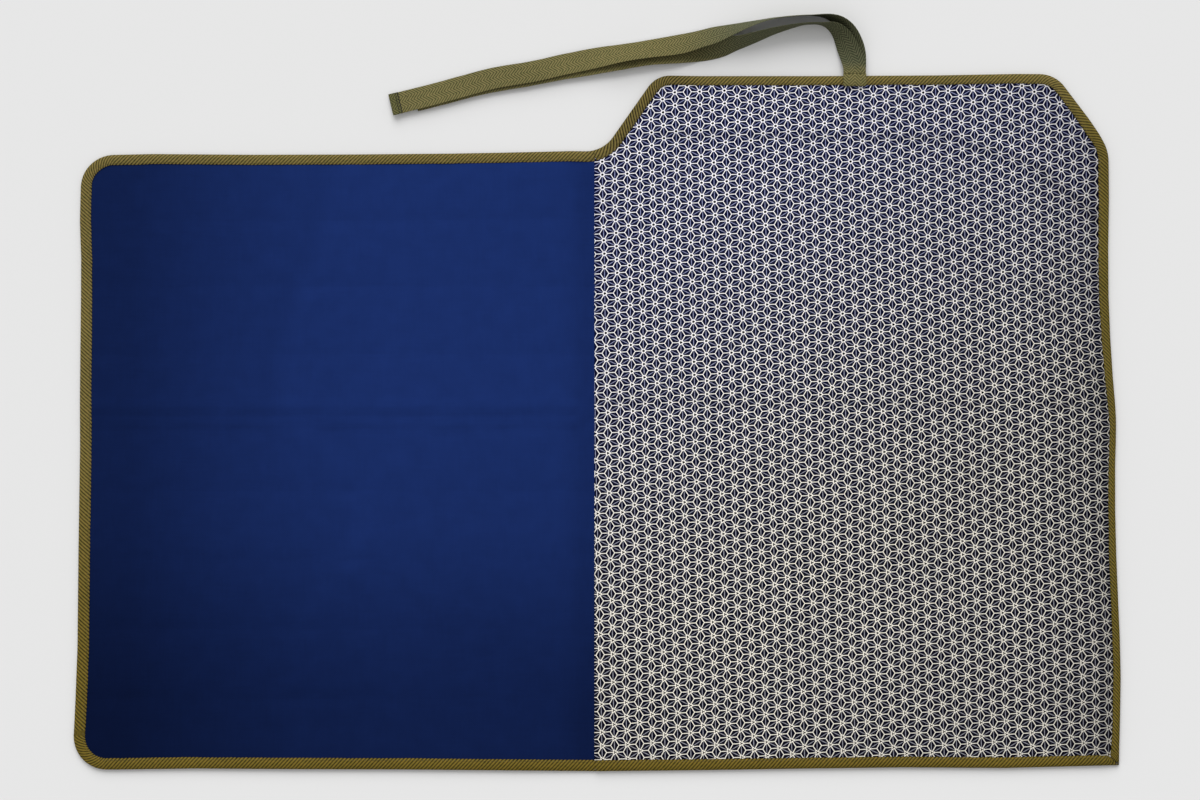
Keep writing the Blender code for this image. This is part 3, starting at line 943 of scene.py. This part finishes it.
# one stitch: a short thread that dives into the cloth at both ends
def addThread(points, tape, faces, slots, middle, way, z, length, radius=None):
    side = Vector((-way.y, way.x))
    start = len(points)
    radius = radius or bound["threadRadius"]
    # place along the thread, share of its radius, height
    rings = [(-0.5, 0.45, -0.28), (-0.3, 0.95, -0.02), (0.0, 1.0, 0.07), (0.3, 0.95, -0.02),
             (0.5, 0.45, -0.28)]
    for share, size, rise in rings:
        for n in range(6):
            angle = n * math.pi / 3
            spot = middle + way * (share * length) + side * (math.cos(angle) * radius * size)
            points.append((spot.x, spot.y, z + rise + math.sin(angle) * radius * size))
            tape.append((0, 0, 0))
    for r in range(len(rings) - 1):
        for n in range(6):
            a = start + r * 6 + n
            b = start + r * 6 + (n + 1) % 6
            faces.append((a, b, b + 6, a + 6))
            slots.append(1)
    for r, turn in ((0, -1), (len(rings) - 1, 1)):
        faces.append(tuple(start + r * 6 + n for n in range(6))[::turn])
        slots.append(1)


lowerSeam = stationAt(seamX, bottomY)
upperSeam = stationAt(seamX, bodyTopY)
for k in range(1, slotCount + 1):
    first = lowerSeam if k == slotCount else stationAt(rightX, middleY[k])
    last = upperSeam if k == 1 else stationAt(rightX, middleY[k - 1])
    piece = bindingPiece(f"slotBinding_{k}", first, last, slotHeight)
    bendAtRoll(piece)
    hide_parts(f"slot_binding_{k}")
    if k == 1:
        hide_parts("tab_binding", "neck_binding")
for k in range(1, slotCount + 1):
    first = upperSeam if k == 1 else stationAt(leftX, hingeY[k - 1])
    last = lowerSeam if k == slotCount else stationAt(leftX, hingeY[k])
    piece = bindingPiece(f"coverBinding_{k}", first, last, coverHeight)
    if k in (1, slotCount):
        bendAtFold(piece)
    else:
        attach(piece, f"cover_{k}")
    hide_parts(f"cover_binding_{k}")
print("binding made")


tie = dict(
    width=15,
    thickness=0.62,
    step=2.5,
    hem=6.2,  # folded end of the outer tie
    hemRun=40,  # so that its weave doesn't run on from the tape under it
    hemRows=[
        dict(place=6.0, rise=0.24, count=7, fill=1.12, radius=0.42),
        dict(place=4.3, rise=0.52, count=7, fill=0.95, radius=0.24),
        dict(place=11.6, rise=0.05, count=5, fill=0.50, radius=0.26),
    ],
)

# X and Y from where the ties are sewn on, tilt in degrees, lift of the lower edge
innerRoute = [
    (0.0, 0.6, 0, 4.3), (0.0, 3.0, 0, 4.2), (-0.8, 8.0, 4, 3.4), (-3.6, 15.6, 20, 1.9),
    (-8.4, 25.0, 46, 0.6), (-14.2, 31.0, 72, 0), (-21.6, 33.6, 95, 0), (-31.0, 33.9, 98, 0),
    (-38.4, 32.8, 94, 0), (-52.8, 29.2, 84, 0), (-62.6, 26.0, 76, 0), (-72.4, 22.6, 69, 0),
    (-80.0, 20.6, 60, 0), (-88.0, 19.2, 36, 0), (-96.0, 18.0, 16, 0), (-104.0, 17.0, 2, 0),
    (-117.0, 15.2, -10, 0), (-137.6, 13.2, -19, 0), (-158.4, 9.8, -18, 0), (-179.0, 6.6, -13, 0),
    (-199.2, 3.4, -11, 0), (-221.0, -0.8, -10, 0), (-243.6, -4.6, -9, 0), (-259.4, -8.2, -9, 0),
    (-278.0, -13.2, -8, 0), (-295.0, -17.4, -6, 0),
]
outerRoute = [
    (0.0, 0.6, 0, 3.4), (0.0, 3.0, 0, 3.2), (0.4, 8.0, 3, 2.0), (-0.2, 16.8, 18, 0.3),
    (-4.2, 28.0, 50, 0), (-10.2, 35.0, 72, 0), (-18.0, 38.6, 90, 0), (-28.0, 39.6, 102, 0),
    (-38.2, 39.2, 103, 0), (-52.4, 37.7, 104, 0.2), (-62.0, 35.7, 108, 0.6), (-73.2, 32.6, 118, 1.2),
    (-83.4, 29.4, 131, 2.0), (-94.4, 26.0, 147, 2.6), (-104.4, 23.4, 151, 2.2), (-117.8, 20.2, 160, 2.0),
    (-137.0, 17.2, 153, 1.6), (-152.4, 14.8, 151, 1.6), (-164.4, 12.8, 158, 1.8), (-178.0, 10.3, 166, 1.8),
    (-198.0, 6.2, 168, 1.6), (-215.6, 2.2, 169, 1.5), (-242.4, -2.4, 170, 1.4), (-262.8, -7.8, 171, 1.4),
    (-284.4, -13.7, 171, 1.3), (-311.3, -20.4, 172, 0.9),
]


def smoothRoute(route, step):
    points = [Vector(p) for p in route]
    ends = [2 * points[0] - points[1]] + points + [2 * points[-1] - points[-2]]
    stations = []
    for i in range(1, len(ends) - 2):
        a, b, c, d = ends[i - 1:i + 3]
        count = max(1, round((c - b).xy.length / step))
        for j in range(count):
            t = j / count
            stations.append(0.5 * (2 * b + (c - a) * t + (2 * a - 5 * b + 4 * c - d) * t**2
                                   + (3 * b - a - 3 * c + d) * t**3))
    return stations + [points[-1]]


# middle, the way across and the face direction at each station of a tie
def tieFrames(route):
    placed = [(anchorX + x, tabTopY + y, math.radians(tilt), lift) for x, y, tilt, lift in route]
    stations = smoothRoute(placed, tie["step"])
    frames = []
    for i, (x, y, tilt, lift) in enumerate(stations):
        ahead = stations[min(i + 1, len(stations) - 1)]
        behind = stations[max(i - 1, 0)]
        way = Vector((ahead[0] - behind[0], ahead[1] - behind[1], 0)).normalized()
        outward = Vector((way.y, -way.x, 0))
        across = outward * math.cos(tilt) + Vector((0, 0, 1)) * math.sin(tilt)
        face = across.cross(way)
        rise = tie["width"] / 2 * abs(math.sin(tilt)) + 0.4 * abs(math.cos(tilt))
        frames.append((Vector((x, y, lift + rise)), across, face, way))
    return frames


def ribbon(name, route, cap=False):
    frames = tieFrames(route)
    columns = 13
    half = tie["thickness"] / 2
    points, tape = [], []
    for side in (1, -1):
        run = 0.0
        for i, (middle, across, face, _) in enumerate(frames):
            if i:
                run += (middle - frames[i - 1][0]).length
            for c in range(columns):
                share = c / (columns - 1) * 2 - 1
                edgeThin = 1 - 0.55 * max(0, abs(share) - 0.86) / 0.14
                wave = 0.10 * noise.noise(Vector((run / 13, share * 1.5, 4)))
                reach = tie["width"] / 2 + 0.12 * noise.noise(Vector((run / 9, share, 1)))
                spot = middle + across * (share * reach) + face * (side * half * edgeThin + wave)
                spot.z = max(spot.z, 0.02)
                points.append(tuple(spot))
                tape.append((run, (share + 1) * tie["width"] / 2, side))
    rows = len(frames)
    faces = closedFaces(rows, columns)
    slots = [0] * len(faces)
    if cap:
        addHem(frames, points, tape, faces, slots)
    obj = newPiece(name, points, faces, [tieTwill, darkThread], tape=tape, slots=slots, crease=60)
    path = [tuple(spot[0] * mm) for spot in frames]
    length = sum((a[0] - b[0]).length for a, b in zip(frames, frames[1:]))
    return obj, path, length * mm


# the tie's end, folded over and stitched down with dark thread
def addHem(frames, points, tape, faces, slots):
    middle, across, _, way = frames[-1]
    half = tie["thickness"] / 2
    start = len(points)
    # distance in from the end, height over the tape
    steps = [(-0.25, -0.25), (-0.1, 0.25), (0.5, 0.42), (tie["hem"] * 0.5, 0.46), (tie["hem"] - 0.3, 0.44),
             (tie["hem"], 0.2), (tie["hem"], -0.05)]
    columns = 9
    for under in (False, True):
        for inwards, rise in steps:
            for c in range(columns):
                share = c / (columns - 1) * 2 - 1
                height = -0.3 if under else rise - 0.12 * (abs(share) > 0.95)
                spot = middle - way * inwards + across * (share * (tie["width"] / 2 + 0.1))
                points.append((spot.x, spot.y, spot.z + half + height))
                tape.append((inwards + tie["hemRun"], (share + 1) * tie["width"] / 2, 3))
    new = closedFaces(len(steps), columns, start, start + len(steps) * columns)
    faces += new
    slots += [0] * len(new)
    flatWay = Vector((across.x, across.y)).normalized()
    for row in tie["hemRows"]:
        for n in range(row["count"]):
            share = (n + 0.5) / row["count"] * 2 - 1
            spot = middle - way * row["place"] + across * (share * tie["width"] / 2)
            length = tie["width"] / row["count"] * row["fill"]
            addThread(points, tape, faces, slots, Vector((spot.x, spot.y)), flatWay,
                      spot.z + half + row["rise"], length, row["radius"])


outerTie, outerPath, outerLength = ribbon("tieOuter", outerRoute, cap=True)
innerTie, innerPath, innerLength = ribbon("tieInner", innerRoute)
print("tie lengths", round(outerLength, 4), round(innerLength, 4))
for obj, path, length, node in ((outerTie, outerPath, outerLength, "tie_outer"),
                                (innerTie, innerPath, innerLength, "tie_inner")):
    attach(obj, "tab")
    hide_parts(node)


# the ties' sewn ends: two tapes on each other, stitched down on the binding
def tieBase():
    low, high = boxOf("tie_anchor")
    columns, rows = 11, 9
    points, tape = [], []
    for level in (1, -1):  # upper side, then under side
        for r in range(rows):
            share = r / (rows - 1)
            y = low.y - 0.1 + (high.y + 0.7 - low.y) * share
            for c in range(columns):
                across = c / (columns - 1) * 2 - 1
                x = anchorX + across * (tie["width"] / 2 + 0.15)
                dip = 0.75 * max(0, 1 - share / 0.16) ** 1.5 + 0.15 * (abs(across) > 0.95)
                sag = 0.20 * math.sin(share * 9) * (1 - share)
                top = high.z + 0.05 - dip - sag
                points.append((x, y, top if level == 1 else min(low.z - 0.1, top - 0.5)))
                tape.append((y, c / (columns - 1) * tie["width"], level))
    faces = closedFaces(rows, columns)
    slots = [0] * len(faces)
    for n in range(6):
        spot = Vector((anchorX - 6 + n * 2.4, low.y + 1.4))
        addThread(points, tape, faces, slots, spot, Vector((1, 0)), high.z - 0.3, 1.7)
    obj = newPiece("tieBase", points, faces, [tieTwill, bindingThread], tape=tape, slots=slots, crease=50,
                   settle=True)
    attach(obj, "tab")
    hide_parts("tie_anchor")


tieBase()
print("ties made")


floorHalf = 4  # metres
floorMesh = bpy.data.meshes.new("floor")
floorCorners = [(-1, -1), (1, -1), (1, 1), (-1, 1)]
floorMesh.from_pydata([(x * floorHalf, y * floorHalf, 0) for x, y in floorCorners], [], [(0, 1, 2, 3)])
floorMesh.materials.append(floorPaint)
floor = bpy.data.objects.new("floor", floorMesh)
bpy.context.scene.collection.objects.link(floor)

bpy.context.view_layer.update()
